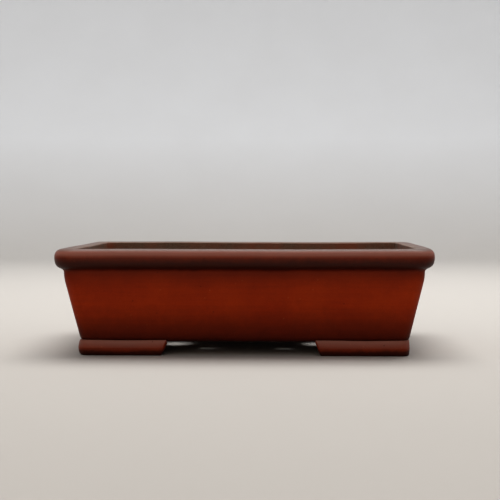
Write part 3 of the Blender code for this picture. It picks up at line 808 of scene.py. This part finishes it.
    # The rib's streaks are burnished more and less, and a speck of grog not at all.
    rough = node("Math", {0: ribs, 1: 0.22, 2: roughness - 0.11}, operation="MULTIPLY_ADD")
    rough = node("Math", {0: speck, 1: 0.15, 2: rough}, operation="MULTIPLY_ADD", use_clamp=True)
    shader = node("BsdfPrincipled", {"Base Color": tone, "Roughness": rough, "IOR": 1.5,
                                     "Specular IOR Level": gloss, "Normal": bump})
    node("OutputMaterial", {"Surface": shader})
    return material


def moulded_polythene(f):
    """Polythene net, melt-moulded: a dull waxy black with flow lines and dust in patches."""
    material, node, where = new_material("moulded_polythene_net")
    # Flow marks of 0.6 mm, and a film of clay dust in patches of 8 mm.
    flow = node("TexNoise", {"Vector": where, "Scale": per_metre(0.6), "Detail": 2.0})
    dust = node("TexNoise", {"Vector": where, "Scale": per_metre(8), "Detail": 4.0})
    film = node("ValToRGB", {"Fac": dust}, stops=[(0.45, 0.0), (0.75, 0.35)])
    tone = node("Mix", {0: film, 6: f.plastic, 7: f.plastic_dust}, 2, data_type="RGBA")
    rough = node("Math", {0: flow, 1: 0.2, 2: 0.38}, operation="MULTIPLY_ADD")
    bump = node("Bump", {"Height": flow, "Strength": 0.35, "Distance": 0.0001})
    shader = node("BsdfPrincipled", {"Base Color": tone, "Roughness": rough, "IOR": 1.51,
                                     "Normal": bump})
    node("OutputMaterial", {"Surface": shader})
    return material


def anodised_wire(f):
    """Aluminium wire, drawn and dyed copper-brown: a soft metal gleam with fine draw lines."""
    material, node, where = new_material("copper_brown_anodised_aluminium")
    # Draw lines of 0.1 mm, drawn at 0.3 mm so that they show, 17 mm long.
    drawn = node("Mapping", {"Vector": where, "Scale": (per_metre(17), per_metre(0.3),
                                                        per_metre(1.7))})
    lines = node("TexNoise", {"Vector": drawn, "Scale": 1.0, "Detail": 2.0})
    amount = node("ValToRGB", {"Fac": lines}, stops=[(0.3, 0.0), (0.7, 1.0)])
    tone = node("Mix", {0: amount, 6: f.wire, 7: f.wire_shade}, 2, data_type="RGBA")
    rough = node("Math", {0: lines, 1: 0.2, 2: 0.25}, operation="MULTIPLY_ADD")
    bump = node("Bump", {"Height": lines, "Strength": 0.3, "Distance": 0.00005})
    shader = node("BsdfPrincipled", {"Base Color": tone, "Metallic": 1.0,
                                     "Roughness": rough, "Normal": bump})
    node("OutputMaterial", {"Surface": shader})
    return material


def wall_clay(f):
    """The walls' and base's clay, made once and shared."""
    # Painted shade: dark near the ground and under the lip, none at mid-height.
    painted_shade_bands = [(0.13, 0.92), (0.17, 0.78), (0.29, 0.50), (0.38, 0.22), (0.50, 0.0), (0.62, 0.06),
             (0.72, 0.30), (0.755, 0.44), (0.79, 0.56), (0.805, 0.70), (0.82, 0.88)]
    return (bpy.data.materials.get("burnished_red_stoneware")
            or unglazed_stoneware("burnished_red_stoneware", f.red_clay, f.red_clay_dark, f,
                                  roughness=0.52, gloss=0.12, painted_shade_bands=painted_shade_bands, sheen_share=0.25))


def trim_clay(f):
    """The lip's and feet's clay, made once and shared."""
    # Painted shade: dark on the feet's lower part and on the lip below its fullest line.
    painted_shade_bands = [(0.0, 0.92), (0.04, 0.80), (0.06, 0.22), (0.078, 0.0), (0.14, 0.0), (0.80, 0.93),
             (0.87, 0.88), (0.905, 0.62), (0.93, 0.26), (0.955, 0.0)]
    return (bpy.data.materials.get("burnished_brown_stoneware")
            or unglazed_stoneware("burnished_brown_stoneware", f.brown_clay, f.brown_clay_dark,
                                  f, roughness=0.46, gloss=0.19, painted_shade_bands=painted_shade_bands, sheen_share=0.88))


def studio_sweep(f):
    """A round dish of paper: flat, then a quarter circle up into a wall, turned about Z."""
    turn = np.linspace(0.0, math.pi / 2, 17)
    r = np.r_[np.linspace(0.0, 2.0, 9), 2.0 + np.sin(turn[1:]), 3.0]
    z = np.r_[np.zeros(9), 1.0 - np.cos(turn[1:]), 3.2]
    around = np.linspace(0.0, 2 * math.pi, 97)[:-1]
    points = np.stack([r[:, None] * np.cos(around), r[:, None] * np.sin(around),
                       z[:, None] + 0 * around], -1)
    mesh = bpy.data.meshes.new("studio_sweep")
    mesh.from_pydata(points.reshape(-1, 3).tolist(), [],
                     grid_faces(len(r), len(around), closed_columns=True))
    mesh.shade_smooth()
    material, node, where = new_material("matt_paper_sweep")
    fibre = node("TexNoise", {"Vector": where, "Scale": per_metre(170),
                              "Detail": 3.0})
    rise = node("SeparateXYZ", {"Vector": where}, "Z")
    upright = node("ValToRGB", {"Fac": rise}, stops=[(0.0, 0.0), (0.35, 1.0)])
    tone = node("Mix", {0: upright, 6: f.floor, 7: f.backdrop}, 2,
                data_type="RGBA")
    clouded = node("ValToRGB", {"Fac": fibre}, stops=[(0.3, 0.0), (0.7, 0.06)])
    tone = node("Mix", {0: clouded, 6: tone, 7: f.fibre}, 2,
                data_type="RGBA")
    shader = node("BsdfPrincipled", {"Base Color": tone, "Roughness": 0.9,
                                     "Specular IOR Level": 0.1})
    node("OutputMaterial", {"Surface": shader})
    mesh.materials.append(material)
    placed("studio_sweep", mesh)


# ---- operators
class BONSAIPOT_OT_walls(bpy.types.Operator):
    """Make the four mitred walls"""

    bl_idname = "bonsai_pot.walls"
    bl_label = "Walls"

    def execute(self, context):
        pot = Pot(context.scene.bonsai_pot_sizes)
        clay = wall_clay(context.scene.bonsai_pot_finish)
        for side, quarter in SIDES:
            side_piece(pot, side + "_wall", quarter, wall_profile(pot), clay, "wall_clay")
        return {"FINISHED"}


class BONSAIPOT_OT_lip(bpy.types.Operator):
    """Make the four mitred strips of the lip"""

    bl_idname = "bonsai_pot.lip"
    bl_label = "Lip"

    def execute(self, context):
        pot = Pot(context.scene.bonsai_pot_sizes)
        clay = trim_clay(context.scene.bonsai_pot_finish)
        for side, quarter in SIDES:
            side_piece(pot, side + "_lip", quarter, lip_profile(pot), clay, "trim_clay")
        return {"FINISHED"}


class BONSAIPOT_OT_base(bpy.types.Operator):
    """Make the base slab with its drainage and tie-wire holes"""

    bl_idname = "bonsai_pot.base"
    bl_label = "Base"

    def execute(self, context):
        base_piece(Pot(context.scene.bonsai_pot_sizes),
                   wall_clay(context.scene.bonsai_pot_finish))
        return {"FINISHED"}


class BONSAIPOT_OT_feet(bpy.types.Operator):
    """Make the four corner feet"""

    bl_idname = "bonsai_pot.feet"
    bl_label = "Feet"

    def execute(self, context):
        pot = Pot(context.scene.bonsai_pot_sizes)
        clay = trim_clay(context.scene.bonsai_pot_finish)
        for corner, sign_x, sign_y, longer, swell in CORNERS:
            foot_piece(pot, corner + "_foot", sign_x, sign_y, longer, swell, clay, "trim_clay")
        return {"FINISHED"}


class BONSAIPOT_OT_screens(bpy.types.Operator):
    """Make the moulded mesh over each drainage hole"""

    bl_idname = "bonsai_pot.screens"
    bl_label = "Drainage Screens"

    def execute(self, context):
        net = moulded_polythene(context.scene.bonsai_pot_finish)
        for end in ENDS:
            screen_piece(context.scene.bonsai_pot_sizes, "drainage_screen_" + end, net)
        return {"FINISHED"}


class BONSAIPOT_OT_clips(bpy.types.Operator):
    """Make the bent wire clips that hold the screens"""

    bl_idname = "bonsai_pot.clips"
    bl_label = "Screen Clips"

    def execute(self, context):
        wire = anodised_wire(context.scene.bonsai_pot_finish)
        for end in ENDS:
            clip_piece(context.scene.bonsai_pot_sizes, "screen_clip_" + end, wire)
        return {"FINISHED"}


class BONSAIPOT_OT_stage(bpy.types.Operator):
    """Set the pale sweep, the soft studio lights and the camera"""

    bl_idname = "bonsai_pot.stage"
    bl_label = "Stage and Camera"

    def execute(self, context):
        scene = context.scene
        studio_sweep(scene.bonsai_pot_finish)
        soft_light("overhead_softbox", (0.10, 0.45, 1.7), (0.0, 0.0, 0.0), 1.6, 34.0, "#fffdfa")
        soft_light("front_softbox", (-0.4, -2.1, 0.75), (0.0, 0.0, 0.05), 1.2, 7.0, "#ffecd8")
        soft_light("backdrop_wash", (0.0, 1.1, 2.3), (0.0, 3.0, 0.6), 1.4, 22.0, "#f8fbff")
        world = bpy.data.worlds.new("studio_air")
        world.use_nodes = True
        background = world.node_tree.nodes["Background"]
        background.inputs["Color"].default_value = linear("#e6e8ec")
        background.inputs["Strength"].default_value = 0.55
        scene.world = world

        camera = bpy.data.cameras.new("camera")
        camera.lens, camera.sensor_width = 86.9, 36.0
        camera.clip_start, camera.clip_end = 0.05, 30.0
        camera.dof.use_dof = False
        eye = placed("camera", camera)
        eye.location = (0.0336, -1.0455, 0.1117)
        down, aside = 1.667, 1.73
        eye.rotation_euler = Euler((math.radians(90 - down), 0.0, math.radians(aside)))
        scene.camera = eye
        scene.view_settings.view_transform = "Standard"
        scene.view_settings.look = "Medium High Contrast"
        return {"FINISHED"}


def soft_light(name, place, target, size, watts, tint):
    """A square area light at a place, facing a target."""
    light = bpy.data.lights.new(name, "AREA")
    light.shape, light.size, light.energy = "SQUARE", size, watts
    light.color = linear(tint)[:3]
    lamp = placed(name, light)
    lamp.location = place
    aim = Vector(target) - Vector(place)
    lamp.rotation_euler = aim.to_track_quat("-Z", "Y").to_euler()


class BONSAIPOT_PT_panel(bpy.types.Panel):
    """Buttons and sizes for the bonsai pot"""

    bl_idname = "BONSAIPOT_PT_panel"
    bl_label = "Bonsai Pot"
    bl_space_type = "VIEW_3D"
    bl_region_type = "UI"
    bl_category = "Bonsai Pot"

    def draw(self, context):
        for operator in OPERATORS:
            self.layout.operator(operator.bl_idname)
        for group in (context.scene.bonsai_pot_sizes, context.scene.bonsai_pot_finish):
            for name in group.bl_rna.properties.keys():
                if name not in ("rna_type", "name"):
                    self.layout.prop(group, name)


OPERATORS = (BONSAIPOT_OT_stage, BONSAIPOT_OT_base, BONSAIPOT_OT_walls, BONSAIPOT_OT_lip,
             BONSAIPOT_OT_feet, BONSAIPOT_OT_screens, BONSAIPOT_OT_clips)
CLASSES = (BonsaiPotSizes, BonsaiPotFinish, *OPERATORS, BONSAIPOT_PT_panel)


def register():
    """Register the classes and hang the settings on the scene."""
    for cls in CLASSES:
        bpy.utils.register_class(cls)
    bpy.types.Scene.bonsai_pot_sizes = PointerProperty(type=BonsaiPotSizes)
    bpy.types.Scene.bonsai_pot_finish = PointerProperty(type=BonsaiPotFinish)


def unregister():
    """Undo register."""
    del bpy.types.Scene.bonsai_pot_finish
    del bpy.types.Scene.bonsai_pot_sizes
    for cls in reversed(CLASSES):
        bpy.utils.unregister_class(cls)


def main():
    """Build everything in order."""
    register()
    for operator in OPERATORS:
        group, name = operator.bl_idname.split(".")
        if getattr(getattr(bpy.ops, group), name)() != {"FINISHED"}:
            raise RuntimeError(operator.bl_label + " didn't finish")


if __name__ == "__main__":
    main()
